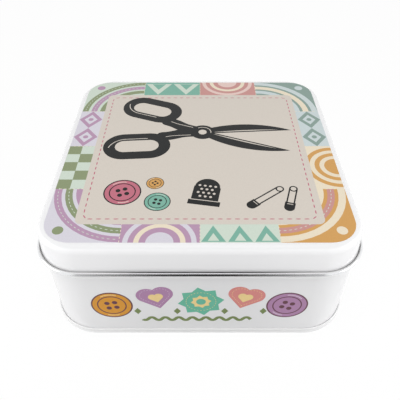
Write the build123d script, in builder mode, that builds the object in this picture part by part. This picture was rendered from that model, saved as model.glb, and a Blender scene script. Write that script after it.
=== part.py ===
from build123d import *
import os
from math import acos, ceil, copysign, cos, degrees, radians, sin, sqrt, tan

# Square tin box with a lift-off slip lid, all of thin coated steel sheet.
# Millimetres. Origin: middle of the tin on the surface it stands on. +Z up, -Y the printed front.
# All rings of the lid turn their corners about the same four upright lines, and all rings of the
# body about four others. So one closed path carries the lid's section round the tin, and one path,
# the outer face of the wall, carries the sections of the body.

# ---- driving dimensions -------------------------------------------------------------------------
tin_width = 160.0            # over the lid's rolled rim
tin_height = 64.9            # from the standing surface to the lid's flat top
wall_corner_radius = 23.8    # outer face of the wall, in plan
lid_corner_radius = 23.5     # outside of the rolled rim, in plan
sheet = 0.25                 # sheet steel with its coating
flat_error = 0.08            # bends are rows of narrow flats, which may cut this far inside them

lid_depth = 15.0             # flat top down to the middle of the rolled rim
rim_radius = 1.0             # outside of the roll
rim_turn = 280.0             # how far the edge is rolled round
skirt_draft = 4.7            # degrees, the skirt opens downwards
shoulder_tight_radius = 3.6  # next to the flat top
shoulder_tight_turn = 60.0
shoulder_easy_radius = 5.0   # running into the skirt

lid_clearance = 0.3          # skirt to neck, where they are closest
seat_gap = 0.3               # rim to stop bead, with the lid on
headroom = 4.75              # lid's underside to the wall's top edge
hem_radius = 0.9             # top edge of the wall, rolled inwards
hem_turn = 230.0
bead_reach = 1.5             # stop bead, proud of the wall
bead_radius = 0.95
bead_root_radius = 1.5       # where the bead runs down into the wall
neck_root_radius = 0.8       # where the neck runs out into the bead
shelf_slope = 10.0           # the top of the bead falls outwards

seam_height = 3.6            # double seam at the foot
seam_gap = 0.04              # between the layers of a seam
seam_hook = 1.45             # straight length of each hook inside it
foot_land = 0.5              # flat that the tin stands on
floor_height = 3.5           # underside of the floor panel
floor_bend = 0.8             # where the floor turns down into the seam
step_inset = 9.0             # edge of the raised middle, in from that bend
step_height = 0.8
step_radius = 0.8

side_seam_width = 4.5        # folded side seam, middle of the rear wall
side_seam_layers = 2         # layers of sheet that stand inside the wall
side_seam_margin = 1.5       # clear of the bead above and the floor below

# ---- worked out from them -----------------------------------------------------------------------
rim_centre = tin_width / 2 - rim_radius
rim_height = tin_height - lid_depth
wall_half = tin_width / 2 - 2 * rim_radius
wall_corner = wall_half - wall_corner_radius
lid_corner = tin_width / 2 - lid_corner_radius

# the skirt meets the roll where the two are tangent, and meets the shoulder at its top
draft = radians(skirt_draft)
tight = radians(shoulder_tight_turn)
roll_skin = rim_radius - sheet
skirt_foot = rim_centre - roll_skin * cos(draft)
skirt_bottom = rim_height - roll_skin * sin(draft)
shoulder_drop = shoulder_tight_radius * (1 - cos(tight)) + shoulder_easy_radius * (cos(tight) - sin(draft))
shoulder_width = shoulder_tight_radius * sin(tight) + shoulder_easy_radius * (cos(draft) - sin(tight))
skirt_rise = tin_height - shoulder_drop - skirt_bottom
skirt_head = skirt_foot - skirt_rise * tan(draft)
flat_half = skirt_head - shoulder_width

# the neck stands inside the narrow end of the skirt
neck_half = skirt_head - sheet / cos(draft) - lid_clearance
hem_height = tin_height - sheet - headroom - hem_radius

# the bead lies under the rolled rim, clear of it by the seat gap
slope = radians(90 - shelf_slope)
bead_centre = wall_half + bead_reach - bead_radius
bead_drop = sqrt((rim_radius + seat_gap + bead_radius) ** 2 - (rim_centre - bead_centre) ** 2)
bead_height = rim_height - bead_drop
bead_turn = acos(1 - bead_reach / (bead_radius + bead_root_radius))
bead_foot = bead_height - (bead_radius + bead_root_radius) * sin(bead_turn)
shelf_reach = bead_centre + bead_radius * cos(slope) - neck_half - neck_root_radius * (1 - cos(slope))
shelf_length = shelf_reach / sin(slope)
neck_foot = bead_height + (bead_radius + neck_root_radius) * sin(slope) + shelf_length * cos(slope)

# each hook of the double seam wraps one layer of sheet
hook_radius = sheet / 2 + seam_gap
hook_foot = 2 * sheet + seam_gap + hook_radius
hook_head = seam_height - sheet - hook_radius
foot_bend = hook_radius + sheet + seam_gap - foot_land / 2
chuck_half = wall_half - sheet - seam_gap
step_turn = acos(1 - step_height / (2 * step_radius))
step_width = 2 * step_radius * sin(step_turn)
middle_half = chuck_half - floor_bend - step_inset - step_width
floor_top = floor_height + sheet


def rounded_square(half, corner):
    """Rounded square in plan. Its sides and its corner centres lie half and corner from the middle."""
    with BuildSketch() as plan:
        RectangleRounded(2 * half, 2 * half, half - corner)
    return plan.sketch


def bent_sheet(start, heading, run):
    """Section of the bent sheet, its skin drawn from start through straights and bends.

    A number is a straight length. A pair is a bend: the skin's radius, and its turn in degrees,
    positive to the left. The metal lies on the right of the skin.
    """
    with BuildSketch() as section:
        with BuildLine():
            raw_edges = []
            for depth in (0, sheet):
                direction = Vector(1, 0).rotate(Axis.Z, heading)
                point = Vector(*start) + direction.rotate(Axis.Z, -90) * depth
                raw_edges.append(point)
                for step in run:
                    if not isinstance(step, tuple):
                        point = Line(point, point + direction * step) @ 1
                        continue
                    skin_radius, turn = step
                    radius = skin_radius + copysign(depth, turn)
                    flat_turn = 2 * degrees(acos(1 - flat_error / (skin_radius + sheet)))
                    count = ceil(abs(turn) / flat_turn)
                    centre = point + direction.rotate(Axis.Z, copysign(90, turn)) * radius
                    spoke = point - centre
                    turns = [turn * flat / count for flat in range(count + 1)]
                    point = Polyline([centre + spoke.rotate(Axis.Z, angle) for angle in turns]) @ 1
                    direction = direction.rotate(Axis.Z, turn)
                raw_edges.append(point)
            Line(raw_edges[0], raw_edges[2])
            Line(raw_edges[1], raw_edges[3])
        make_face()
    return section.sketch


lid_path = rounded_square(rim_centre, lid_corner).face().outer_wire()
wall_path = rounded_square(wall_half, wall_corner).face().outer_wire()

# ---- lid: one drawn shell, its raw edge rolled outwards into a hollow rim ------------------------
lid_run = [
    (shoulder_tight_radius, -shoulder_tight_turn),
    (shoulder_easy_radius, shoulder_tight_turn + skirt_draft - 90),
    skirt_rise / cos(draft),
    (roll_skin, rim_turn),
]
with BuildPart() as lid:
    with BuildSketch(Plane.XZ):
        add(bent_sheet((flat_half, tin_height), 0, lid_run))
    sweep(path=lid_path)
    with BuildSketch(Plane.XY.offset(tin_height - sheet)):
        add(rounded_square(flat_half, lid_corner))
    extrude(amount=sheet)
lid.part.label = "lid"

# ---- body wall: one strip bent round the tin, from its rolled top edge to the hook in the seam ---
wall_run = [
    (hem_radius, -hem_turn),
    hem_height - neck_foot,
    (neck_root_radius, degrees(slope)),
    shelf_length,
    (bead_radius, -degrees(slope + bead_turn)),
    (bead_root_radius, degrees(bead_turn)),
    bead_foot - hook_foot,
    (hook_radius, 180),
    seam_hook,
]
hem_start = (
    neck_half - hem_radius + hem_radius * cos(radians(hem_turn)),
    hem_height + hem_radius * sin(radians(hem_turn)),
)
side_seam_depth = side_seam_layers * sheet
side_seam_foot = floor_top + side_seam_margin
side_seam_head = bead_foot - side_seam_margin
with BuildPart() as body_wall:
    with BuildSketch(Plane.XZ):
        add(bent_sheet(hem_start, hem_turn - 90, wall_run))
    sweep(path=wall_path)
    with BuildSketch(Plane.XY.offset(side_seam_foot)):
        with Locations((0, wall_half - sheet - side_seam_depth / 2)):
            Rectangle(side_seam_width, side_seam_depth + sheet)
    extrude(amount=side_seam_head - side_seam_foot)
    inner_edges = body_wall.edges(Select.LAST).filter_by(Axis.Z).group_by(Axis.Y)[0]
    fillet(inner_edges, side_seam_depth / 2)
body_wall.part.label = "body_wall"

# ---- base: pressed floor panel, its edge folded over the wall's hook to make the double seam ----
base_run = [
    (step_radius, -degrees(step_turn)),
    (step_radius, degrees(step_turn)),
    step_inset,
    (floor_bend, -90),
    floor_top - floor_bend - sheet - foot_bend,
    (foot_bend, 90),
    foot_land,
    (foot_bend, 90),
    hook_head - sheet - foot_bend,
    (hook_radius, 180),
    seam_hook,
]
with BuildPart() as base:
    with BuildSketch(Plane.XZ):
        add(bent_sheet((middle_half, floor_top + step_height), 0, base_run))
    sweep(path=wall_path)
    with BuildSketch(Plane.XY.offset(floor_height + step_height)):
        add(rounded_square(middle_half, wall_corner))
    extrude(amount=sheet)
base.part.label = "base"

os.makedirs("parts", exist_ok=True)
export_step(lid.part, "parts/lid.step")
export_step(body_wall.part, "parts/body_wall.step")
export_step(base.part, "parts/base.step")
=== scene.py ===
# %% [markdown]
# # The looks of a sewing tin
# A square slip-lid tin is three pieces of thin coated steel: a drawn lid, a wall bent from one strip, and a
# pressed base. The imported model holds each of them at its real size, with its tight bends drawn as narrow
# flats. This lesson gives them round bends, a white coat, bright metal where the coat stops, and a print.

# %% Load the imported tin
from math import acos, ceil, copysign, cos, degrees, hypot, radians, sin, sqrt, tan

import bmesh
import bpy
from mathutils import Matrix, Vector


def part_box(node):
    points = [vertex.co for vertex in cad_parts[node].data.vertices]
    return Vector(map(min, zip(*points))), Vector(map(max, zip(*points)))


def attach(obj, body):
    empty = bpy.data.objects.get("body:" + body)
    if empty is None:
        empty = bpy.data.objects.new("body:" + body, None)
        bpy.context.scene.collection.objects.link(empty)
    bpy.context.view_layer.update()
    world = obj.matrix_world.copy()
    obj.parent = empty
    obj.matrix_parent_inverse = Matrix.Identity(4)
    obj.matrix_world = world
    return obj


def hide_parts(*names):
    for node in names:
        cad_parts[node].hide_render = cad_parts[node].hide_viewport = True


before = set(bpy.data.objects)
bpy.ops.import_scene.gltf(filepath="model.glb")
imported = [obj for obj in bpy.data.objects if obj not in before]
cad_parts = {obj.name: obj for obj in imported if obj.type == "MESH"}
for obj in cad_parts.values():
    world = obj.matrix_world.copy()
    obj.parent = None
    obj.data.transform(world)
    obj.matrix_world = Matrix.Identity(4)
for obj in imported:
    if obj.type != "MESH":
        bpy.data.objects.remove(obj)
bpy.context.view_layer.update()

# %% [markdown]
# ## The tin's own sizes
# All lengths are millimetres here and become metres when a mesh is made. The height comes from the packed
# lid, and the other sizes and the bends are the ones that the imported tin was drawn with.

# %% Sizes of the tin
MM = 0.001
tin_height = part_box("lid")[1].z / MM
tin_width = 160.0          # over the rolled rim
sheet = 0.25               # the sheet with its coating
wall_corner_radius = 23.8  # in plan, outside the wall
lid_corner_radius = 23.5   # in plan, outside the rim

# the lid: flat top down to the rim's middle, the rolled rim, the skirt and the shoulder
lid_depth = 15.0
rim_radius = 1.0
rim_turn = 280.0
skirt_draft = 4.7
shoulder_tight_radius = 3.6
shoulder_tight_turn = 60.0
shoulder_easy_radius = 5.0

# the wall's top: gaps to the lid, the rolled hem, the stop bead and the neck
lid_clearance = 0.3
seat_gap = 0.3
headroom = 4.75
hem_radius = 0.9
hem_turn = 230.0
bead_reach = 1.5
bead_radius = 0.95
bead_root_radius = 1.5
neck_root_radius = 0.8
shelf_slope = 10.0

# the double seam at the foot, and the base
seam_height = 3.6
seam_gap = 0.04
seam_hook = 1.45
foot_land = 0.5
floor_height = 3.5
floor_bend = 0.8
step_inset = 9.0
step_height = 0.8
step_radius = 0.8

# the folded seam up the rear wall
side_seam_width = 4.5
side_seam_layers = 2
side_seam_margin = 1.5
print("the flat top is", round(tin_height, 2), "mm up, the sheet", sheet, "mm thick")

# %% Sizes that follow for the lid
rim_centre = tin_width / 2 - rim_radius
rim_height = tin_height - lid_depth
lid_corner = tin_width / 2 - lid_corner_radius

draft = radians(skirt_draft)
tight = radians(shoulder_tight_turn)
roll_skin = rim_radius - sheet
skirt_foot = rim_centre - roll_skin * cos(draft)
skirt_bottom = rim_height - roll_skin * sin(draft)
shoulder_drop = shoulder_tight_radius * (1 - cos(tight)) + shoulder_easy_radius * (cos(tight) - sin(draft))
shoulder_width = shoulder_tight_radius * sin(tight) + shoulder_easy_radius * (cos(draft) - sin(tight))
skirt_rise = tin_height - shoulder_drop - skirt_bottom
skirt_head = skirt_foot - skirt_rise * tan(draft)
flat_half = skirt_head - shoulder_width
print("flat top", round(2 * flat_half, 2), "mm, skirt", round(skirt_rise, 2), "mm deep")

# %% Sizes that follow for the wall
wall_half = tin_width / 2 - 2 * rim_radius
wall_corner = wall_half - wall_corner_radius
neck_half = skirt_head - sheet / cos(draft) - lid_clearance
hem_height = tin_height - sheet - headroom - hem_radius

slope = radians(90 - shelf_slope)
bead_centre = wall_half + bead_reach - bead_radius
bead_drop = sqrt((rim_radius + seat_gap + bead_radius) ** 2 - (rim_centre - bead_centre) ** 2)
bead_height = rim_height - bead_drop
bead_turn = acos(1 - bead_reach / (bead_radius + bead_root_radius))
bead_foot = bead_height - (bead_radius + bead_root_radius) * sin(bead_turn)
shelf_reach = bead_centre + bead_radius * cos(slope) - neck_half - neck_root_radius * (1 - cos(slope))
shelf_length = shelf_reach / sin(slope)
neck_foot = bead_height + (bead_radius + neck_root_radius) * sin(slope) + shelf_length * cos(slope)
print("wall", round(2 * wall_half, 2), "mm, neck", round(2 * neck_half, 2), "mm")

# %% Sizes that follow for the seam and the base
hook_radius = sheet / 2 + seam_gap
hook_foot = 2 * sheet + seam_gap + hook_radius
hook_head = seam_height - sheet - hook_radius
foot_bend = hook_radius + sheet + seam_gap - foot_land / 2
chuck_half = wall_half - sheet - seam_gap
step_turn = acos(1 - step_height / (2 * step_radius))
step_width = 2 * step_radius * sin(step_turn)
middle_half = chuck_half - floor_bend - step_inset - step_width
floor_top = floor_height + sheet
print("floor", floor_top, "mm up, its middle", round(2 * middle_half, 2), "mm")

# %% [markdown]
# ## Helpers for edit mode
# Operators act on what is selected. Every piece therefore starts with nothing selected, and its corners,
# edges or faces are then picked by their place.

# %% Helpers: select by place
CLOSE = 0.004  # places nearer than this, in millimetres, are one place


def let_go():
    """Leaves nothing selected, so that the next operator can only touch its own piece."""
    bpy.ops.object.select_all(action="DESELECT")


def take(piece):
    """Makes one piece the only selected and active one."""
    let_go()
    piece.select_set(True)
    bpy.context.view_layer.objects.active = piece


def pick(piece, kind, test):
    """In edit mode, selects the vertices, edges or faces for which test(element) is true."""
    bpy.ops.mesh.select_mode(type={"verts": "VERT", "edges": "EDGE", "faces": "FACE"}[kind])
    bpy.ops.mesh.select_all(action="DESELECT")
    mesh = bmesh.from_edit_mesh(piece.data)
    mesh.normal_update()
    found = [element for element in getattr(mesh, kind) if test(element)]
    for element in found:
        element.select_set(True)
    mesh.select_flush_mode()
    bmesh.update_edit_mesh(piece.data)
    return len(found)


def corners_of(element):
    """The corners of an edge or face, in millimetres."""
    return [corner.co / MM for corner in element.verts]


def ring_half(point, corner):
    """Half the width of the rounded square, its corner centres that far out, which runs through a point."""
    past_x, past_y = abs(point[0]) - corner, abs(point[1]) - corner
    if past_x > 0 and past_y > 0:
        return corner + hypot(past_x, past_y)
    return corner + max(past_x, past_y)


print("places within", CLOSE, "mm count as one")

# %% [markdown]
# ## Bending a strip of sheet
# A tin maker forms every rim, bead and hook by bending an edge of the sheet. The mesh is made the same way.
# One short edge, as long as the sheet is thick, is extruded along the straights and spun round the bends.
# That draws the section of the piece. Spun a quarter turn about a corner of the tin, pulled straight to the
# tin's middle planes and mirrored twice, the section becomes the whole ring. Drawing each ring as a tube of
# its own would leave seams where rim, skirt and shoulder meet, and here they are one surface.

# %% Helpers: headings and runs
tight_step = 15.0   # degrees of a tight bend to one face
easy_step = 7.5     # degrees of an easy bend to one face
easy_from = 3.0     # bends of a larger radius are easy


def towards(heading):
    """A step of length 1 on a heading, in degrees from the first axis."""
    return Vector((cos(radians(heading)), sin(radians(heading))))


def walk(point, heading, step, share):
    """The point and heading after a share of a straight, or of a bend given as its radius and turn."""
    if not isinstance(step, tuple):
        return point + towards(heading) * step * share, heading
    radius, turn = step
    end = heading + turn * share
    return point + (towards(end - 90) - towards(heading - 90)) * copysign(radius, turn), end


print("a tight bend has a face for every", tight_step, "degrees, an easy one for every", easy_step)

# %% Helpers: draw a section
COATED = "coated_side"


def section_point(corner, across, up):
    """A point of a section, which stands at the start of a corner of the tin."""
    return Vector((across, corner, up)) * MM


def start_edge(name, corner, start, heading):
    """An edge as long as the sheet is thick, square to the heading, its coated end in a vertex group."""
    along = towards(heading)
    middle = Vector(start) + (towards(heading - 90) - along) * sheet / 2
    let_go()
    bpy.ops.mesh.primitive_plane_add(
        size=sheet * MM, location=section_point(corner, *middle), rotation=(radians(90), -radians(heading), 0)
    )
    piece = bpy.context.object
    piece.name = piece.data.name = name
    bpy.ops.object.transform_apply()
    piece.vertex_groups.new(name=COATED)
    skin = section_point(corner, *start)
    bpy.ops.object.mode_set(mode="EDIT")
    lead = Vector((along.x, 0, along.y))
    pick(piece, "verts", lambda v: (v.co - skin).dot(lead) < -sheet * MM / 2)
    bpy.ops.mesh.delete(type="VERT")
    pick(piece, "verts", lambda v: (v.co - skin).length < sheet * MM / 2)
    bpy.ops.object.vertex_group_assign()
    bpy.ops.mesh.select_all(action="SELECT")
    return piece


def draw_run(start, heading, run, spot, axis):
    """Pulls the selected edge along a run of straights and bends. spot places a point of it in the scene."""
    point = Vector(start)
    for step in run:
        goal, end = walk(point, heading, step, 1)
        if isinstance(step, tuple):
            radius, turn = step
            centre = point - towards(heading - 90) * copysign(radius, turn)
            steps = max(3, ceil(abs(turn) / (easy_step if radius > easy_from else tight_step)))
            bpy.ops.mesh.spin(steps=steps, angle=radians(turn), center=spot(*centre), axis=axis)
        else:
            bpy.ops.mesh.extrude_region_move(TRANSFORM_OT_translate={"value": spot(*goal) - spot(*point)})
        point, heading = goal, end


def bend_section(name, corner, start, heading, run):
    """Draws the section of a bent sheet, the run being that of its coated skin."""
    piece = start_edge(name, corner, start, heading)
    draw_run(start, heading, run, lambda *point: section_point(corner, *point), (0, 1, 0))
    return piece


print("the coated end of a section is tagged", COATED)

# %% Helpers: carry a section round the tin
corner_steps = 28  # faces round a corner of the tin


def carry_round(piece, corner):
    """Sweeps a section round one corner, pulls it to the tin's middle planes and mirrors it twice."""
    reach = corner * MM
    bpy.ops.mesh.select_all(action="SELECT")
    bpy.ops.mesh.spin(steps=corner_steps, angle=-radians(90), center=(reach, reach, 0), axis=(0, 0, 1))
    bpy.ops.mesh.extrude_region_move(TRANSFORM_OT_translate={"value": (-reach, 0, 0)})
    pick(piece, "faces", lambda f: all(abs(c.y - corner) < CLOSE for c in corners_of(f)))
    bpy.ops.mesh.extrude_region_move(TRANSFORM_OT_translate={"value": (0, -reach, 0)})
    for axis in (0, 1):
        pick(piece, "faces", lambda f: all(abs(c[axis]) < CLOSE for c in corners_of(f)))
        bpy.ops.mesh.delete(type="FACE")
    bpy.ops.object.mode_set(mode="OBJECT")
    mirror = piece.modifiers.new("four_corners", "MIRROR")
    mirror.use_axis = (True, True, False)
    mirror.merge_threshold = CLOSE * MM
    bpy.ops.object.modifier_apply(modifier=mirror.name)


def close_middle(piece, corner, edge_half):
    """Takes out the raw edge that a pressed panel's section starts with, and closes both sides flat."""
    bpy.ops.object.mode_set(mode="EDIT")
    pick(piece, "faces", lambda f: all(ring_half(c, corner) < edge_half + CLOSE for c in corners_of(f)))
    bpy.ops.mesh.delete(type="ONLY_FACE")
    pick(piece, "edges", lambda e: e.is_wire)
    bpy.ops.mesh.delete(type="EDGE")
    rims = [v.co.z / MM for v in bmesh.from_edit_mesh(piece.data).verts if v.is_boundary]
    for z in (min(rims), max(rims)):
        pick(piece, "edges", lambda e: e.is_boundary and all(abs(c.z - z) < CLOSE for c in corners_of(e)))
        bpy.ops.mesh.edge_face_add()
    bpy.ops.object.mode_set(mode="OBJECT")


print("a corner of the tin is spun in", corner_steps, "steps")

# %% Helpers: finish a shell and check it
sharp_from = 35  # degrees between faces that shade as an edge


def finish_shell(piece, skin, back):
    """Gives the tagged side its skin, turns every face outwards and makes the bends shade round."""
    piece.data.materials.append(back)
    piece.data.materials.append(skin)
    bpy.ops.object.mode_set(mode="EDIT")
    bpy.ops.mesh.select_all(action="SELECT")
    bpy.ops.mesh.normals_make_consistent(inside=False)
    bpy.ops.mesh.select_mode(type="VERT")
    bpy.ops.mesh.select_all(action="DESELECT")
    bpy.ops.object.vertex_group_select()
    bpy.ops.mesh.select_mode(type="FACE")
    piece.active_material_index = 1
    bpy.ops.object.material_slot_assign()
    bpy.ops.object.mode_set(mode="OBJECT")
    bpy.ops.object.shade_smooth_by_angle(angle=radians(sharp_from))
    even = piece.modifiers.new("flats_stay_flat", "WEIGHTED_NORMAL")
    even.keep_sharp = True
    even.weight = 100
    bpy.ops.object.modifier_apply(modifier=even.name)


def open_edges(piece):
    """How many edges of a piece don't have exactly two faces."""
    mesh = bmesh.new()
    mesh.from_mesh(piece.data)
    count = sum(not edge.is_manifold for edge in mesh.edges)
    mesh.free()
    return count


print("helpers for bending are ready")

# %% [markdown]
# ## Writing shader maths as expressions
# A pattern is worked out by Math nodes. One small class wraps a socket, so that such nodes can be written
# as expressions, with a number on either side of the sign. A second class holds a node tree and has the one
# method that adds a node. A third is a material with its shader and a few patterns.

# %% Helper: a value that varies
class Value:
    """A number that varies over a surface. Expressions with it add Math nodes."""

    def __init__(self, nodes, socket):
        self.nodes = nodes
        self.socket = socket

    def math(self, operation, *terms):
        """A Math node on values and numbers, in the order given."""
        inputs = {f"_{place}": term for place, term in enumerate(terms)}
        return self.nodes.value(self.nodes.node("ShaderNodeMath", {"operation": operation}, **inputs))

    def __sub__(self, other):
        return self.math("SUBTRACT", self, other)

    def __mul__(self, other):
        return self.math("MULTIPLY", self, other)

    def __truediv__(self, other):
        return self.math("DIVIDE", self, other)

    def __rsub__(self, other):
        return self.math("SUBTRACT", other, self)

    def __rtruediv__(self, other):
        return self.math("DIVIDE", other, self)

    __rmul__ = __mul__

    def __abs__(self):
        return self.math("ABSOLUTE", self)

    def lower(self, other):
        return self.math("MINIMUM", self, other)

    def higher(self, other):
        return self.math("MAXIMUM", self, other)

    def smooth(self, low, high, start=0.0, end=1.0):
        """Eases from start to end while the value goes from low to high."""
        inputs = {"Value": self, "From_Min": low, "From_Max": high, "To_Min": start, "To_Max": end}
        return self.nodes.value(
            self.nodes.node("ShaderNodeMapRange", {"interpolation_type": "SMOOTHSTEP"}, **inputs)
        )


print("values can be subtracted, multiplied, divided, compared and smoothed")

# %% Helper: a node tree
class Nodes:
    """A node tree, and the one method that adds a node to it."""

    def __init__(self, tree):
        self.tree = tree

    def plug(self, socket, term):
        """Gives a socket a link, a colour or a number."""
        if isinstance(term, Value):
            term = term.socket
        if isinstance(term, bpy.types.NodeSocket):
            self.tree.links.new(term, socket)
        else:
            socket.default_value = (*term, 1) if socket.type == "RGBA" else term

    def node(self, kind, settings=None, **inputs):
        """Adds a node: its settings first, then constants or links for its sockets, named or _numbered.

        Expressions on values come here too, for their Math nodes.
        """
        node = self.tree.nodes.new(kind)
        for name, term in (settings or {}).items():
            setattr(node, name, term)
        for name, term in inputs.items():
            key = int(name[1:]) if name[1:].isdigit() else name.replace("_", " ")
            self.plug(node.inputs[key], term)
        return node

    def value(self, node, output=0):
        return Value(self, node.outputs[output])

    def in_sight(self):
        """1 for what the camera sees, straight or reflected or through glass, and 0 for all other light."""
        rays = self.node("ShaderNodeLightPath")
        straight, reflected = self.value(rays, "Is Camera Ray"), self.value(rays, "Is Glossy Ray")
        return straight.higher(reflected).higher(self.value(rays, "Is Transmission Ray"))

    def show(self, share, shader, other):
        """Shows a shader on its way to another one, by a share that varies."""
        mixed = self.node("ShaderNodeMixShader", None, _0=share, _1=shader.outputs[0], _2=other.outputs[0])
        output = next(node for node in self.tree.nodes if node.type.startswith("OUTPUT"))
        self.plug(output.inputs["Surface"], mixed.outputs[0])


print("a node's settings are set before its sockets")

# %% Helper: a material
class Finish(Nodes):
    """A material with a Principled shader, whose patterns lie in the tin's own space."""

    def __init__(self, name, **constants):
        self.material = bpy.data.materials.new(name)
        self.material.use_nodes = True
        super().__init__(self.material.node_tree)
        self.shader = self.tree.nodes["Principled BSDF"]
        self.set(**constants)
        self.spot = self.node("ShaderNodeTexCoord").outputs["Object"]

    def set(self, **inputs):
        """Sets the shader's sockets, named with underscores, to constants or links."""
        for name, term in inputs.items():
            self.plug(self.shader.inputs[name.replace("_", " ")], term)

    def along(self, axis):
        """How far along one axis of the tin a point is, in metres."""
        return self.value(self.node("ShaderNodeSeparateXYZ", None, Vector=self.spot), axis)

    def noise(self, size, stretch=(1, 1, 1), detail=3.0):
        """Noise whose blots are about as many millimetres as size, longer where stretch is more than 1."""
        scale = [1 / (size * MM * share) for share in stretch]
        spot = self.node("ShaderNodeMapping", None, Vector=self.spot, Scale=scale).outputs[0]
        return self.value(
            self.node("ShaderNodeTexNoise", None, Vector=spot, Scale=1.0, Detail=detail, Roughness=0.5)
        )

    def tint(self, colour, other, share):
        """A colour on its way to another one, by a share that varies."""
        mix = self.node("ShaderNodeMix", {"data_type": "RGBA"}, _0=share, _6=colour, _7=other)
        return mix.outputs[2]

    def bump(self, height, depth):
        """A Bump node on a height from 0 to 1, which stands for that depth in millimetres."""
        return self.node("ShaderNodeBump", None, Height=height * (depth * MM), Distance=1.0).outputs[0]


def paint(*srgb):
    """Screen colours from 0 to 255, as the linear numbers that a shader takes."""
    return [((c / 255 + 0.055) / 1.055) ** 2.4 if c > 10 else c / 255 / 12.92 for c in srgb]


def deeper(colour, share):
    """A colour with a share of its light."""
    return [share * channel for channel in colour]


print("helpers for materials are ready")

# %% [markdown]
# ## The white coat
# The sheet is coated white before it is pressed, and the enamel is glossy with a faint ripple. One even
# colour would look like plastic, so noise in the tin's own space makes it a little cloudy. From the lid's
# tight bend up, a painted shade makes the coat a little greyer. On the wall a painted highlight makes it
# whitest at the bead and on the neck.

# %% White coat
cloud_size, cloud_shade = 28, 0.985
cloud_gloss = (0.27, 0.33)
ripple_size, ripple_depth = 1.6, 0.0015
bend_low, bend_high = tin_height - 1.4, tin_height - 0.5


def white_coat(name, colour, painted_tone=None, between=None):
    """Gloss enamel, a little uneven in shade and gloss, that may ease to a painted shade or highlight by
    height.
    """
    made = Finish(name, Coat_Weight=0.8, Coat_Roughness=0.1)
    cloud = made.noise(cloud_size)
    ripple = made.noise(ripple_size, detail=2)
    tone = made.tint(colour, deeper(colour, cloud_shade), cloud.smooth(0.1, 0.9))
    if painted_tone:
        tone = made.tint(tone, painted_tone, made.along("Z").smooth(*(height * MM for height in between)))
    made.set(Base_Color=tone)
    made.set(Roughness=cloud.smooth(0.1, 0.9, *cloud_gloss), Normal=made.bump(ripple, ripple_depth))
    print("made", name)
    return made.material


# painted shade on the lid from its tight bend up, and a painted highlight on the wall's bead and neck
bend_painted_shade, bead_painted_highlight = paint(235, 235, 236), paint(253, 253, 253)
lid_coat = white_coat("white_coat_lid", paint(251, 251, 252), bend_painted_shade, (bend_low, bend_high))
# the wall's coat is a little greyer than the lid's, as painted shade, and the base's a little lighter than
# the wall's, as painted light
wall_coat = white_coat("white_coat_wall", paint(241, 241, 242), bead_painted_highlight, (bead_foot, bead_height))
base_coat = white_coat("white_coat_base", paint(244, 244, 244))

# %% [markdown]
# ## The bare tinplate
# Inside, and where the coat stops at a rolled edge, the tinplate is bare: bright metal with fine streaks
# along the way the sheet was rolled. Noise that is stretched forty times along the sheet gives the streaks,
# and wide soft noise changes the gloss where hands have touched it.

# %% Bare tinplate
streak_size, streak_stretch, streak_depth = 0.35, (40, 40, 1), 0.001
smudge_size, smudge_gloss = 14, (0.17, 0.22)
steel = Finish("bare_tinplate", Metallic=1.0)
streak = steel.noise(streak_size, stretch=streak_stretch)
smudge = steel.noise(smudge_size)
steel.set(Base_Color=steel.tint(paint(246, 247, 248), paint(230, 231, 233), streak.smooth(0.3, 0.7)))
steel.set(Roughness=smudge.smooth(0.3, 0.7, *smudge_gloss), Normal=steel.bump(streak, streak_depth))
print("made", steel.material.name)

# %% [markdown]
# ## Painted shade inside the rim
# Where the rolled rim meets the skirt, the roll and the foot of the skirt are painted dark, as the shade
# in that crevice, with faint random blotches. The painted shade is lighter at the corners. The smaller of
# the two distances from the tin's middle planes grows towards every corner, so that one number fades the
# painted shade at all four.

# %% Painted shade
shade_blot_size = 2.5
shade_fade_from, shade_fade_to = 20, 62
# painted shade: near black with random blotches, lighter towards the corners
painted_shade = Finish("grime_in_rim", Roughness=0.7)
shade_blots = painted_shade.noise(shade_blot_size)
to_corner = abs(painted_shade.along("X")).lower(abs(painted_shade.along("Y")))
dark = painted_shade.tint(paint(58, 58, 59), paint(34, 34, 35), shade_blots.smooth(0.3, 0.7))
lighter_to_corners = to_corner.smooth(shade_fade_from * MM, shade_fade_to * MM)
painted_shade.set(Base_Color=painted_shade.tint(dark, paint(205, 205, 205), lighter_to_corners))
print("made", painted_shade.material.name)

# %% [markdown]
# ## The lid
# The lid is one drawn shell. From the flat top the sheet turns over a tight bend into an easier one, runs
# down the skirt, and ends in an edge rolled outwards into a hollow rim. The last bit of the skirt is a step
# of its own, so that its faces can be given the painted shade.

# %% The lid
crevice = 0.5
lid_run = [
    (shoulder_tight_radius, -shoulder_tight_turn),
    (shoulder_easy_radius, shoulder_tight_turn + skirt_draft - 90),
    skirt_rise / cos(draft) - crevice,
    crevice,
    (roll_skin, rim_turn),
]
lid_shell = bend_section("lid_shell", lid_corner, (flat_half, tin_height), 0, lid_run)
carry_round(lid_shell, lid_corner)
close_middle(lid_shell, lid_corner, flat_half)
finish_shell(lid_shell, lid_coat, steel.material)
print("the lid's section has", len(lid_run), "straights and bends")


# %% Painted shade on the roll
def inside_rim(face):
    """True for faces with painted shade: the roll's inner side, crown and free edge, and the skirt's foot."""
    corners = [Vector((ring_half(c, lid_corner) - rim_centre, c.z - rim_height)) for c in corners_of(face)]
    skin = 1.02 * rim_radius
    inner = all(c.length < roll_skin + sheet / 5 for c in corners)
    crown = all(c.y > 0.96 * rim_radius and c.length < skin for c in corners)
    free_edge = all(abs(c.x) < 0.3 * rim_radius and 0.7 * rim_radius < c.y < skin for c in corners)
    skirt_part = all(skirt_foot - 0.1 < c.x + rim_centre < rim_centre and 0 < c.y < crevice for c in corners)
    return inner or crown or free_edge or skirt_part


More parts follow.
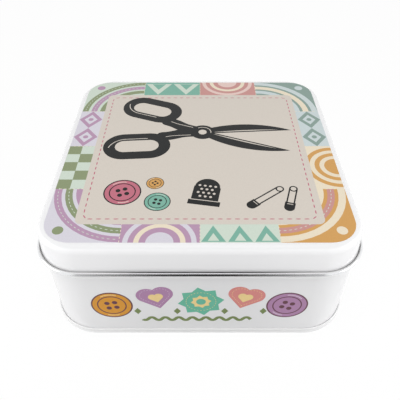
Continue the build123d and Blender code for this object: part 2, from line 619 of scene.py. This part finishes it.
# the faces behind the roll take the painted shade
lid_shell.data.materials.append(painted_shade.material)
take(lid_shell)
bpy.ops.object.mode_set(mode="EDIT")
print(pick(lid_shell, "faces", inside_rim), "faces inside the rim")
lid_shell.active_material_index = len(lid_shell.data.materials) - 1
bpy.ops.object.material_slot_assign()
bpy.ops.object.mode_set(mode="OBJECT")
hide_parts("lid")
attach(lid_shell, "lid")
print("lid:", len(lid_shell.data.polygons), "faces,", open_edges(lid_shell), "open edges")

# %% [markdown]
# ## The wall
# The wall is one strip. Its top edge is rolled inwards, the neck below it goes up inside the lid, and the
# bead under the neck stops the lid. At the foot the strip ends in the hook that the base holds.

# %% The wall
hem_start = (
    neck_half - hem_radius + hem_radius * cos(radians(hem_turn)),
    hem_height + hem_radius * sin(radians(hem_turn)),
)
wall_run = [
    (hem_radius, -hem_turn),
    hem_height - neck_foot,
    (neck_root_radius, degrees(slope)),
    shelf_length,
    (bead_radius, -degrees(slope + bead_turn)),
    (bead_root_radius, degrees(bead_turn)),
    bead_foot - hook_foot,
    (hook_radius, 180),
    seam_hook,
]
wall_shell = bend_section("wall_shell", wall_corner, hem_start, hem_turn - 90, wall_run)
carry_round(wall_shell, wall_corner)
finish_shell(wall_shell, wall_coat, steel.material)
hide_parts("body_wall")
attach(wall_shell, "tin_body")
print("wall:", len(wall_shell.data.polygons), "faces,", open_edges(wall_shell), "open edges")

# %% [markdown]
# ## The side seam
# The strip's two ends hook into each other behind the tin. Inside, the folds stand proud as a flat ridge
# with rounded edges. Outside, only a fine line shows where one end lies over the other. The hooks are shut
# inside the ridge, so a block with bevelled edges shows all that there is to see.

# %% The side seam
seam_foot = floor_top + side_seam_margin
seam_head = bead_foot - side_seam_margin
seam_depth = side_seam_layers * sheet
seam_face = wall_half - sheet - seam_depth
seam_bury = 0.1
line_width, line_depth, line_margin = 0.22, 0.03, 0.2


def block_between(name, low, high, material):
    """A block between two of its corners, in millimetres."""
    low, high = Vector(low) * MM, Vector(high) * MM
    let_go()
    bpy.ops.mesh.primitive_cube_add(size=1, location=(low + high) / 2)
    made = bpy.context.object
    made.name = made.data.name = name
    made.scale = high - low
    bpy.ops.object.transform_apply()
    made.data.materials.append(material)
    return made


side_seam = block_between(
    "side_seam",
    (-side_seam_width / 2, seam_face, seam_foot),
    (side_seam_width / 2, wall_half - sheet + seam_bury, seam_head),
    steel.material,
)
bpy.ops.object.mode_set(mode="EDIT")
pick(side_seam, "edges", lambda e: all(abs(c.y - seam_face) < CLOSE for c in corners_of(e)))
bpy.ops.mesh.bevel(offset=seam_depth / 2 * MM, segments=4, affect="EDGES")
bpy.ops.object.mode_set(mode="OBJECT")
bpy.ops.object.shade_smooth_by_angle(angle=radians(sharp_from))
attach(side_seam, "tin_body")
# the fine line where one end lies over the other is painted shade, as dark as that in the rim
seam_line = block_between(
    "side_seam_line",
    (-(side_seam_width + line_width) / 2, wall_half - line_depth / 2, seam_height + line_margin),
    (-(side_seam_width - line_width) / 2, wall_half + line_depth / 2, bead_foot),
    painted_shade.material,
)
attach(seam_line, "tin_body")
print("side seam", round(seam_head - seam_foot, 1), "mm high")

# %% [markdown]
# ## The base
# The base is a pressed panel. Its edge turns down inside the wall and is folded outwards and up over the
# wall's hook, which makes the seam that the tin stands on.

# %% The base
base_run = [
    (step_radius, -degrees(step_turn)),
    (step_radius, degrees(step_turn)),
    step_inset,
    (floor_bend, -90),
    floor_top - floor_bend - sheet - foot_bend,
    (foot_bend, 90),
    foot_land,
    (foot_bend, 90),
    hook_head - sheet - foot_bend,
    (hook_radius, 180),
    seam_hook,
]
base_shell = bend_section("base_shell", wall_corner, (middle_half, floor_top + step_height), 0, base_run)
carry_round(base_shell, wall_corner)
close_middle(base_shell, wall_corner, middle_half)
finish_shell(base_shell, steel.material, base_coat)
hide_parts("base")
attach(base_shell, "tin_body")
print("base:", len(base_shell.data.polygons), "faces,", open_edges(base_shell), "open edges")

# %% [markdown]
# ## Inks
# A tin is printed flat, before it is pressed, in plain inks under a thin clear coat. An ink takes less gloss
# than the enamel, or the dark ones would show the white room. Fine noise gives the faint mottle of a litho
# print.

# %% Inks of the lid
mottle_size, mottle_shade = 0.7, 0.96
ink_gloss = {"Roughness": 0.45, "Specular_IOR_Level": 0.15, "Coat_Weight": 0.06, "Coat_Roughness": 0.2}


def ink(name, *srgb):
    """A printed ink under the clear coat, with its mottle."""
    made = Finish("ink_" + name, **ink_gloss)
    mottle = made.noise(mottle_size, detail=2).smooth(0.35, 0.75)
    made.set(Base_Color=made.tint(paint(*srgb), deeper(paint(*srgb), mottle_shade), mottle))
    return made.material


cream = ink("cream", 211, 203, 193)
charcoal = ink("charcoal", 32, 33, 33)
rose = ink("rose", 190, 112, 128)
lilac = ink("lilac", 213, 210, 219)
purple = ink("purple", 181, 148, 174)
sage = ink("sage", 138, 149, 115)
mint = ink("mint", 204, 216, 203)
teal = ink("teal", 124, 175, 158)
coral = ink("coral", 198, 146, 141)
blush = ink("blush", 226, 200, 192)
haze = ink("haze", 200, 211, 212)
bluish = ink("blue_sage", 137, 158, 150)
ochre = ink("ochre", 207, 158, 94)
sand = ink("sand", 231, 219, 196)
print("fourteen inks")

# %% [markdown]
# ## Flat shapes for the print
# The print is made of thin films of ink that lie on the lid and on the front wall, so its edges stay sharp
# from any distance, where a painted picture would need a texture. The shapes are drawn round the origin,
# sorted by ink and by level, and then laid on the tin. Shapes of one ink and level that lie over each other
# would flicker, so each stands a hair higher than the one before, and the count starts again after eight.

# %% Helper: a print
film_base, film_step = 0.02, 0.01
hair, hair_count = 0.0006, 8


class Print:
    """Flat shapes in millimetres about the origin, kept by ink and level until they are laid on the tin."""

    def __init__(self, name):
        self.name = name
        self.films = {}

    def keep(self, colour, level):
        """Keeps the shape that was just drawn."""
        film = self.films.setdefault((colour.name, level), [])
        bpy.context.object.location.z += len(film) % hair_count * hair * MM
        film.append(bpy.context.object)

    def shape(self, colour, level, at, radius, sides=48, turn=0, stretch=(1, 1)):
        """A disc, or a regular shape with few sides. Its first corner points up before the turn."""
        let_go()
        bpy.ops.mesh.primitive_circle_add(
            vertices=sides,
            radius=radius * MM,
            fill_type="NGON",
            location=Vector((*at, 0)) * MM,
            rotation=(0, 0, radians(turn)),
        )
        bpy.context.object.scale = (*stretch, 1)
        self.keep(colour, level)

    def stroke(self, colour, level, start, heading, run, width):
        """A ribbon along a run of straights and bends. A bend is the radius of its middle and a turn."""
        along = towards(heading).to_3d()
        foot = Vector((*start, 0)) * MM
        let_go()
        bpy.ops.mesh.primitive_plane_add(
            size=width * MM, location=foot - along * width * MM / 2, rotation=(0, 0, radians(heading))
        )
        ribbon = bpy.context.object
        bpy.ops.object.transform_apply()
        bpy.ops.object.mode_set(mode="EDIT")
        pick(ribbon, "verts", lambda v: (v.co - foot).dot(along) < -width * MM / 2)
        bpy.ops.mesh.delete(type="VERT")
        bpy.ops.mesh.select_all(action="SELECT")
        draw_run(start, heading, run, lambda *point: Vector((*point, 0)) * MM, (0, 0, -1))
        bpy.ops.mesh.select_all(action="SELECT")
        bpy.ops.mesh.remove_doubles(threshold=CLOSE * MM)
        bpy.ops.object.mode_set(mode="OBJECT")
        self.keep(colour, level)

    def slice(self, colour, level, at, half, depth, turn):
        """A slice of a disc: a straight edge twice half long, and an arc that bulges by depth above it."""
        radius = (half**2 + depth**2) / (2 * depth)
        cut = (0, (radius - depth) * MM, 0)
        let_go()
        bpy.ops.mesh.primitive_circle_add(vertices=256, radius=radius * MM, fill_type="NGON")
        bpy.ops.object.mode_set(mode="EDIT")
        bpy.ops.mesh.select_all(action="SELECT")
        bpy.ops.mesh.bisect(plane_co=cut, plane_no=(0, 1, 0), clear_inner=True)
        bpy.ops.mesh.select_all(action="SELECT")
        bpy.ops.transform.translate(value=(0, -cut[1], 0))
        bpy.ops.object.mode_set(mode="OBJECT")
        bpy.context.object.location = Vector((*at, 0)) * MM
        bpy.context.object.rotation_euler.z = radians(turn)
        self.keep(colour, level)

    def panel(self, colour, level, at, half, corner):
        """A square with rounded corners."""
        let_go()
        bpy.ops.mesh.primitive_plane_add(size=2 * half * MM, location=Vector((*at, 0)) * MM)
        bpy.ops.object.mode_set(mode="EDIT")
        bpy.ops.mesh.select_all(action="SELECT")
        bpy.ops.mesh.bevel(offset=corner * MM, segments=10, affect="VERTICES")
        bpy.ops.object.mode_set(mode="OBJECT")
        self.keep(colour, level)

    def shapes(self):
        return [shape for kept in self.films.values() for shape in kept]

    def place(self, earlier, at, turn):
        """Turns the shapes drawn since the earlier ones about the origin, and moves them, as one motif."""
        move = Matrix.Translation(Vector((*at, 0)) * MM) @ Matrix.Rotation(radians(turn), 4, "Z")
        for shape in self.shapes():
            if shape not in earlier:
                bpy.context.view_layer.update()
                shape.matrix_world = move @ shape.matrix_world

    def lay(self, location, rotation, body):
        """Joins the shapes by ink and level, gives each film its thickness and lays it on the tin."""
        for (ink_name, level), shapes in self.films.items():
            take(shapes[0])
            for shape in shapes:
                shape.select_set(True)
            if len(shapes) > 1:
                bpy.ops.object.join()
            film = bpy.context.object
            film.name = film.data.name = f"{self.name}_{ink_name}_{level}"
            bpy.ops.object.transform_apply()
            bpy.ops.object.mode_set(mode="EDIT")
            bpy.ops.mesh.select_mode(type="FACE")
            bpy.ops.mesh.select_all(action="SELECT")
            bpy.ops.mesh.normals_make_consistent(inside=False)
            thickness = (film_base + level * film_step) * MM
            bpy.ops.mesh.extrude_region_move(TRANSFORM_OT_translate={"value": (0, 0, thickness)})
            bpy.ops.mesh.select_all(action="SELECT")
            bpy.ops.mesh.normals_make_consistent(inside=False)
            bpy.ops.object.mode_set(mode="OBJECT")
            film.location = Vector(location) * MM
            film.rotation_euler = [radians(turn) for turn in rotation]
            bpy.ops.object.transform_apply()
            if not film.data.materials:
                film.data.materials.append(bpy.data.materials[ink_name])
            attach(film, body)
            print(film.name, len(film.data.polygons), "faces,", open_edges(film), "open edges")


print("helpers for the print are ready, a film is", film_base, "mm thick and", film_step, "more by level")

# %% [markdown]
# ## The print on the lid
# The lid carries a patchwork border round a plain cream panel. The ground of the border is one rounded
# square, cut along straight lines into patches, the way a quilt top is pieced.

# %% Lid print: the pieced ground
print_half, print_corner = 73.1, 14.0
block = print_half / 2
lid_print = Print("lid_print")
lid_print.panel(lilac, 0, (0, 0), print_half, print_corner)
ground = bpy.context.object
bpy.ops.object.mode_set(mode="EDIT")
for axis in ((1, 0, 0), (0, 1, 0)):
    for cut in (-block, 0, block):
        bpy.ops.mesh.select_all(action="SELECT")
        bpy.ops.mesh.bisect(plane_co=Vector(axis) * cut * MM, plane_no=axis)
patches = {
    (-2, -2): lilac, (-1, -2): purple, (0, -2): mint, (1, -2): ochre,
    (-2, -1): sage, (1, -1): sand, (-2, 0): lilac, (1, 0): haze,
    (-2, 1): mint, (-1, 1): teal, (0, 1): coral, (1, 1): bluish,
}
grounds = list(dict.fromkeys(patches.values()))
for colour in grounds:
    ground.data.materials.append(colour)
for (column, row), colour in patches.items():
    middle = Vector((column + 0.5, row + 0.5)) * block
    reach = block / 2 + CLOSE
    pick(ground, "faces", lambda f: all(max(map(abs, c.xy - middle)) < reach for c in corners_of(f)))
    ground.active_material_index = grounds.index(colour)
    bpy.ops.object.material_slot_assign()
bpy.ops.object.mode_set(mode="OBJECT")
print("ground cut into", len(ground.data.polygons), "patches")

# %% [markdown]
# ## The motifs of the border
# Each patch has a plain quilt motif: quarter rings in the corners, half rings, diamonds, checks and
# triangles along the sides, with a paler shape inside a darker one. Rings are strokes, and all else is a
# regular shape with few sides.

# %% Lid print: rings
outer_ring, middle_ring, inner_ring = 34.6, 29.2, 23.8
ring_width = 3.6
dot_reach, dot_radius = 41, 2.6


def quarter_ring(sign_x, sign_y, radius):
    """The start, heading and run of a quarter ring about the inner corner of a corner block."""
    start = {(1, 1): 0, (-1, 1): 90, (-1, -1): 180, (1, -1): 270}[sign_x, sign_y]
    foot = Vector((sign_x, sign_y)) * block + towards(start) * radius
    return foot, start + 90, [(radius, 90)]


def fan(sign_x, sign_y, colours, dot):
    """Three quarter rings in a corner block, and a dot outside them."""
    for radius, colour in zip((outer_ring, middle_ring, inner_ring), colours):
        lid_print.stroke(colour, 1, *quarter_ring(sign_x, sign_y, radius), ring_width)
    out = block + dot_reach * cos(radians(45))
    lid_print.shape(dot, 1, Vector((sign_x, sign_y)) * out, dot_radius)


def half_moon(middle, facing, rings, core, core_radius):
    """Half rings about a point on the outer edge of the print, opening towards the middle of the lid."""
    for radius, width, colour in (*rings, (core_radius / 2, core_radius - 0.02, core)):
        start = Vector(middle) + towards(facing + 90) * radius
        lid_print.stroke(colour, 1, start, facing, [(radius, -180)], width)


fan(-1, 1, (sage, purple, sage), purple)
fan(1, 1, (haze, sand, haze), haze)
fan(-1, -1, (purple, sage, purple), sage)
fan(1, -1, (sand, coral, sand), sand)
half_moon((block / 2, print_half), 270, ((15.6, 2.4, blush), (10.6, 2.4, sand)), blush, 6.4)
half_moon((-block / 2, -print_half), 90, ((15.6, 2.4, lilac), (10.6, 2.4, sand)), lilac, 6.4)
half_moon((print_half, -block / 2), 180, ((15.6, 2.6, ochre), (10.4, 2.6, ochre)), ochre, 6.6)
print("four fans and three half moons")

# %% Lid print: diamonds, checks and triangles
side_middle = 66.1
check = block / 5
slim, squat, narrow = (0.76, 1), (0.95, 0.9), (0.95, 1)
for part in (1 / 4, 3 / 4):
    for x, colour, inside in ((side_middle, bluish, haze), (-side_middle, purple, lilac)):
        lid_print.shape(colour, 1, (x, part * block), 9.0, sides=4, stretch=slim)
        lid_print.shape(inside, 2, (x, part * block), 5.2, sides=4, stretch=slim)
        lid_print.shape(colour, 4, (x, part * block), 1.5)
for row in range(5):
    x = -69.5 if row % 2 else -62.4
    lid_print.shape(mint, 1, (x, -(row + 0.5) * check), 5.0, sides=4, turn=45)
for part in (-3 / 4, -1 / 4):
    lid_print.shape(mint, 1, (part * block, 66.4), 10.4, sides=3, turn=180, stretch=squat)
    lid_print.shape(teal, 2, (part * block, 68.2), 5.4, sides=3, turn=180, stretch=squat)
for part in (1 / 6, 3 / 6, 5 / 6):
    lid_print.shape(teal, 1, (part * block, -69.2), 6.8, sides=3, stretch=narrow)
    lid_print.shape(mint, 2, (part * block, -70.4), 3.2, sides=3, stretch=narrow)
print("diamonds, checks and triangles")

# %% Lid print: the cream panel
panel_half, panel_corner = 59.0, 3.5
panel_middle = -2.6
lid_print.panel(cream, 3, (0, panel_middle), panel_half, panel_corner)
print("panel", 2 * panel_half, "mm wide")


# %% [markdown]
# ## The sewing motifs
# Shears, buttons, a thimble and safety pins are the plain signs of sewing. Each is drawn about the origin
# from strokes, discs and slices, in charcoal with fine pale lines where the real thing shines, and is then
# turned and moved into its place as one motif.

# %% Lid print: the shears
def shears(at, turn):
    """Open dressmaker's shears, pointing right before the turn. Their halves cross at the origin."""
    earlier = lid_print.shapes()
    for side in (1, -1):
        before = lid_print.shapes()
        level = 4.5 + 0.5 * side
        # the blade and its bright edge
        lid_print.slice(charcoal, level, (22, -1.6 * side), 30, 8.0, 90 - 90 * side)
        lid_print.slice(cream, level + 0.2, (25, -0.6 * side), 20, 0.9, 90 - 90 * side)
        # the shank with a round end, and the finger ring
        lid_print.stroke(charcoal, level, (4, 0), 180, [12, (22, 20 * side), (22, -20 * side)], 8.4)
        lid_print.shape(charcoal, level, (-23, -2.65 * side), 4.2)
        ring = [14, (8.6, 180 * side), 14, (8.6, 180 * side)]
        lid_print.stroke(charcoal, level, (-31, -2.5 * side), 180, ring, 6.6)
        # where the ring and the shank shine
        lid_print.stroke(cream, level + 0.2, (-32, -4.2 * side), 180, [12, (10.3, 75 * side)], 0.5)
        lid_print.stroke(cream, level + 0.2, (-7, -2.4 * side), 180, [8, (24, 16 * side)], 0.45)
        lid_print.place(before, (0, 0), 13 * side)
    lid_print.shape(charcoal, 5.5, (0, 0), 7.0)
    lid_print.stroke(cream, 6, (4.9, 0), 90, [(4.9, 130)], 0.45)
    lid_print.shape(cream, 6, (0, 0), 2.4)
    lid_print.place(earlier, at, turn)


shears((1.5, 14), -9)
print("shears on the panel")


# %% Helper: a sewing button
def button(sheet_of, at, radius, colour, line, shine, turn):
    """A sewing button: a rim line, a dished middle, four holes and two pale lines where it shines."""
    earlier = sheet_of.shapes()
    sheet_of.shape(line, 4, (0, 0), radius)
    sheet_of.shape(colour, 4.5, (0, 0), 0.93 * radius)
    sheet_of.stroke(line, 5, (0.68 * radius, 0), 90, [(0.68 * radius, 360)], 0.06 * radius)
    for corner in (45, 135, 225, 315):
        sheet_of.shape(line, 5, towards(corner) * 0.27 * radius, 0.13 * radius, sides=24)
    for corner, arc in ((60, 55), (240, 40)):
        start = towards(corner) * 0.82 * radius
        sheet_of.stroke(shine, 5, start, corner + 90, [(0.82 * radius, arc)], 0.05 * radius)
    sheet_of.place(earlier, at, turn)


print("a button has four holes")

# %% Lid print: thimble, safety pins and buttons
def thimble(at, turn):
    """A thimble: a rounded cap on a body, a rim below, and rows of dimples."""
    earlier = lid_print.shapes()
    lid_print.shape(charcoal, 4, (0, 5), 6.4)
    lid_print.stroke(charcoal, 4, (0, 5), 270, [11], 13.6)
    lid_print.stroke(charcoal, 4, (-8, -7), 0, [16], 3.4)
    for row in range(4):
        odd = row % 2
        for column in range(4 - odd):
            lid_print.shape(cream, 5, (2.7 * (column - 1.5 + 0.5 * odd), 5.8 - 2.7 * row), 0.72, sides=16)
    lid_print.stroke(cream, 5, (-7, -5.2), 0, [14], 0.5)
    lid_print.place(earlier, at, turn)


def safety_pin(at, length, turn):
    """A closed safety pin: a hood, two wires and the loop at the far end that springs them apart."""
    earlier = lid_print.shapes()
    for side in (1, -1):
        lid_print.stroke(charcoal, 4, (0, 1.8 * side), 0, [length], 0.75)
    lid_print.stroke(charcoal, 4, (length + 1.8, 0), 90, [(1.8, 360)], 0.75)
    lid_print.stroke(charcoal, 4, (-2.2, 0), 0, [3.6], 5.2)
    lid_print.shape(charcoal, 4, (-2.2, 0), 2.6)
    lid_print.stroke(cream, 5, (0.2, -1.5), 90, [3], 0.4)
    lid_print.place(earlier, at, turn)


button(lid_print, (-39, -39), 9.5, rose, charcoal, blush, 20)
button(lid_print, (-21, -46), 6.6, teal, charcoal, mint, -15)
button(lid_print, (-23, -32), 4.6, ochre, charcoal, sand, 40)
safety_pin((27, -47), 17, 38)
safety_pin((44, -48), 12, 74)
thimble((3, -40), -10)
print("three buttons, two safety pins and a thimble")

# %% [markdown]
# ## Running stitches
# Stitched lines tie the motifs to sewing: mint ones on the rings, sand ones that join the blocks, and rose
# ones round the panel. A stitch is a thin oval with few sides, because there are hundreds of them. They
# stand at an even pitch along the same kind of run that the sheet is bent by.

# %% Helper: running stitches
joining_stitch = {"pitch": 2.2, "length": 1.3, "width": 0.4}
ring_stitch = {"pitch": 2.6, "length": 1.5, "width": 0.4}
panel_stitch = {"pitch": 4.1, "length": 2.6, "width": 0.62}
stitch_sides = 10


def running_stitch(sheet_of, colour, level, start, heading, run, pitch, length, width):
    """Stitches at an even pitch along a run of straights and bends."""
    point, gone, count = Vector(start), 0.0, 0
    for step in run:
        path = step[0] * abs(radians(step[1])) if isinstance(step, tuple) else step
        while gone <= path:
            spot, angle = walk(point, heading, step, gone / path)
            stretch = (1, width / length)
            sheet_of.shape(colour, level, spot, length / 2, sides=stitch_sides, turn=angle, stretch=stretch)
            gone += pitch
            count += 1
        gone -= path
        point, heading = walk(point, heading, step, 1)
    return count


print("a stitch has", stitch_sides, "sides")

# %% Lid print: the stitches
end_join_from, end_join_length = 57, 15.4
side_join_from, side_join_length = 59.4, 13
stitched_rings = {
    (-1, 1): (outer_ring, middle_ring),
    (1, 1): (outer_ring,),
    (-1, -1): (outer_ring, middle_ring),
    (1, -1): (middle_ring,),
}
for corner, rings in stitched_rings.items():
    for radius in rings:
        running_stitch(lid_print, mint, 2, *quarter_ring(*corner, radius), **ring_stitch)
for place in (-block, 0, block):
    for sign in (-1, 1):
        start = (place, sign * end_join_from)
        running_stitch(lid_print, sand, 2, start, 90 * sign, [end_join_length], **joining_stitch)
        start = (sign * side_join_from, place)
        running_stitch(lid_print, sand, 2, start, 90 - 90 * sign, [side_join_length], **joining_stitch)
inset = 3.5
side = 2 * (panel_half - inset - panel_corner)
edge_run = [side, (panel_corner, 90)] * 4
foot = (-side / 2, panel_middle - panel_half + inset)
count = running_stitch(lid_print, rose, 4, foot, 0, edge_run, **panel_stitch)
print(count, "stitches round the panel")

# %% [markdown]
# ## Laying the print on the lid
# The lid is printed only on its flat top, so the films are laid there as they were drawn. A gap far thinner
# than a film keeps the lowest ink from lying in the same plane as the coat.

# %% Lay the lid print
print_gap = 0.002
lid_print.lay((0, 0, tin_height + print_gap), (0, 0, 0), "lid")
print(len(lid_print.films), "films on the lid")

# %% [markdown]
# ## The print on the front wall
# A loose row of two buttons, two hearts and a quilt star runs along the front wall over a green wavy braid.
# Its inks are a little stronger than those of the lid. The shapes are drawn flat like those of the lid, and
# the films are then stood up against the wall.

# %% Wall inks
wall_orange = ink("wall_orange", 220, 154, 58)
wall_purple = ink("wall_purple", 178, 136, 173)
wall_coral = ink("wall_coral", 218, 141, 136)
wall_teal = ink("wall_teal", 110, 188, 162)
wall_green = ink("wall_green", 127, 143, 93)
wall_sand = ink("wall_sand", 240, 213, 150)
wall_lilac = ink("wall_lilac", 218, 200, 216)
wall_deep = ink("wall_deep", 110, 74, 84)
print("eight wall inks")

# %% Helpers: hearts and a quilt star
heart_stitch = {"pitch": 1.5, "length": 0.9, "width": 0.3}
star_stitch = {"pitch": 1.66, "length": 0.95, "width": 0.3}
star_middle = Vector((0.5, 3))
wall_print = Print("wall_print")


def heart(colour, level, at, radius, turn, stitched=None):
    """A heart: a square on its corner with a disc on each upper side, and stitches inside its edge."""
    earlier = wall_print.shapes()
    inner = 0.8 * radius
    foot = (0, 0.12 * radius - inner * sqrt(2))
    wall_print.shape(colour, level, (0, 0), radius * sqrt(2), sides=4)
    for side in (-1, 1):
        wall_print.shape(colour, level, (side * radius / sqrt(2), radius / sqrt(2)), radius)
        if stitched:
            edge = [2 * inner, (inner, 165 * side)]
            running_stitch(wall_print, stitched, level + 0.5, foot, 90 - 45 * side, edge, **heart_stitch)
    wall_print.place(earlier, at, turn)


def star(colour, level, radius, turn):
    """An eight-pointed quilt star of two squares."""
    for half in (0, 45):
        wall_print.shape(colour, level, star_middle, radius, sides=4, turn=turn + half)


print("the star stands", star_middle.y, "mm above the middle of the wall print")

# %% Front wall print
stitch_ring = 7.4
button(wall_print, (-44, 0), 10.4, wall_orange, wall_deep, wall_sand, 10)
heart(wall_purple, 4, (-21.5, 5), 5.4, 12, wall_lilac)
heart(wall_sand, 5, (-21.5, 5.6), 2.2, 12)
star(wall_teal, 4, 11.6, 8)
ring_start = star_middle + towards(0) * stitch_ring
running_stitch(wall_print, wall_sand, 4.5, ring_start, 90, [(stitch_ring, 358)], **star_stitch)
star(wall_sand, 5, 5.2, 8)
wall_print.shape(wall_teal, 6, star_middle, 2.4)
heart(wall_coral, 4, (22, 5), 5.4, -14, wall_sand)
heart(wall_sand, 5, (22, 5.6), 2.2, -14)
button(wall_print, (43.5, 0), 10.4, wall_purple, wall_deep, wall_lilac, -20)
for x in (-31.5, -11.5, 12.5, 32):
    wall_print.shape(wall_green, 4, (x, -5), 2.6, sides=4, stretch=(0.7, 1))
wave = [(1.6, 100), 1.6, (1.6, -100), 1.6]
wall_print.stroke(wall_green, 3, (-29.5, -12.4), -50, wave * 8, 1.9)
print("two buttons, two hearts, a quilt star, four diamonds and a braid")

# %% Lay the wall print
wall_print_height = 24
wall_print.lay((0, -wall_half - print_gap, wall_print_height), (90, 0, 0), "tin_body")
print(len(wall_print.films), "films on the wall")

# %% [markdown]
# ## Floor and world
# The photograph is a product shot on white. A pale floor carries the tin's soft shadow. To the camera, and
# in reflections, floor and room are white, while the light they give to the tin stays low. Light Path
# tells the two apart, so that the white needs no more light.

# %% Floor
floor_size = 6000
floor_white = 0.94
let_go()
bpy.ops.mesh.primitive_plane_add(size=floor_size * MM, location=(0, 0, 0))
floor = bpy.context.object
floor.name = "floor"
floor_finish = Finish("floor_white", Base_Color=paint(245, 245, 245), Roughness=0.9)
glow = floor_finish.node("ShaderNodeEmission", None, Color=(1, 1, 1), Strength=1.0)
floor_finish.show(floor_finish.in_sight() * floor_white, floor_finish.shader, glow)
floor.data.materials.append(floor_finish.material)
print("floor", floor_size, "mm wide")

# %% World
room_light = 0.5
world = bpy.data.worlds.new("studio")
bpy.context.scene.world = world
world.use_nodes = True
room = Nodes(world.node_tree)
soft = world.node_tree.nodes["Background"]
room.plug(soft.inputs["Color"], (1, 1, 1))
room.plug(soft.inputs["Strength"], room_light)
white = room.node("ShaderNodeBackground", None, Color=(1, 1, 1), Strength=1.0)
room.show(room.in_sight(), soft, white)
print("room light", room_light)


# %% [markdown]
# ## Lamps
# A large softbox high in front of the tin lights the top and the front, and a low one at each side lifts
# the corners. The top one doesn't show in reflections, where it would draw a hard white shape.

# %% Lamps
def softbox(name, place, aim, size, power):
    """A square lamp at a place in millimetres, turned to shine at another."""
    let_go()
    bpy.ops.object.light_add(type="AREA", location=Vector(place) * MM)
    lamp = bpy.context.object
    lamp.name = name
    lamp.data.shape = "SQUARE"
    lamp.data.size = size * MM
    lamp.data.energy = power
    lamp.rotation_euler = (Vector(aim) - Vector(place)).to_track_quat("-Z", "Y").to_euler()
    return lamp


top_box = softbox("top_box", (0, -200, 880), (0, 0, tin_height / 2), 500, 3.7)
top_box.visible_glossy = False
softbox("left_box", (-300, -140, 110), (-70, -60, 30), 160, 0.18)
softbox("right_box", (300, -140, 110), (70, -60, 30), 160, 0.18)
print("three softboxes")

# %% [markdown]
# ## The dark card
# A camera and its stand show in the bright rim of such a tin and, faintly, in its wall. A dark card lies on
# the floor in front of the tin and turns up behind the camera to take their place. Only reflections see it,
# and it fades to nothing towards its sides, so that it leaves no edge in the wall.

# %% Dark card
card_near, card_far = -79.5, -700
card_half_near, card_half_far = 95, 420
card_rise = 900
card_height = 0.4
card_solid = 0.1
let_go()
card_middle = Vector((0, (card_near + card_far) / 2, card_height)) * MM
bpy.ops.mesh.primitive_plane_add(size=1, location=card_middle)
card = bpy.context.object
card.name = "dark_card"
card.scale = (2 * card_half_near * MM, (card_near - card_far) * MM, 1)
bpy.ops.object.transform_apply()
bpy.ops.object.mode_set(mode="EDIT")
pick(card, "edges", lambda e: all(c.y < card_far + 1 for c in corners_of(e)))
widen = card_half_far / card_half_near
bpy.ops.transform.resize(value=(widen, 1, 1), center_override=(0, card_far * MM, 0))
bpy.ops.mesh.extrude_region_move(TRANSFORM_OT_translate={"value": (0, 0, card_rise * MM)})
bpy.ops.object.mode_set(mode="OBJECT")
card.visible_camera = card.visible_diffuse = card.visible_shadow = False
card_finish = Finish("dark_card", Base_Color=paint(14, 14, 15), Roughness=0.9)
flare = (card_half_far - card_half_near) / (card_near - card_far)
half_there = (card_half_near + card_near * flare) * MM - card_finish.along("Y") * flare
fade = (abs(card_finish.along("X")) / half_there).smooth(card_solid, 1.0)
card_finish.show(fade, card_finish.shader, card_finish.node("ShaderNodeBsdfTransparent"))
card.data.materials.append(card_finish.material)
print("card", card_near - card_far, "mm long")

# %% [markdown]
# ## Camera
# The camera's place, pitch and lens were fitted to the outline of the tin in the photograph: the four
# corners of the top, the line of the rim and the foot. It stands on the tin's middle plane, so it is only
# tipped down.

# %% Camera
camera_back, camera_up = -214.79, 220.76
camera_pitch = 42.516
camera_lens = 42.105
let_go()
bpy.ops.object.camera_add(
    location=Vector((0, camera_back, camera_up)) * MM, rotation=(radians(90 - camera_pitch), 0, 0)
)
camera = bpy.context.object
camera.name = "camera"
camera.data.sensor_width = 36.0
camera.data.lens = camera_lens
camera.data.clip_start = 0.01
bpy.context.scene.camera = camera
bpy.context.scene.view_settings.view_transform = "Standard"
print("camera looks down", camera_pitch, "degrees")
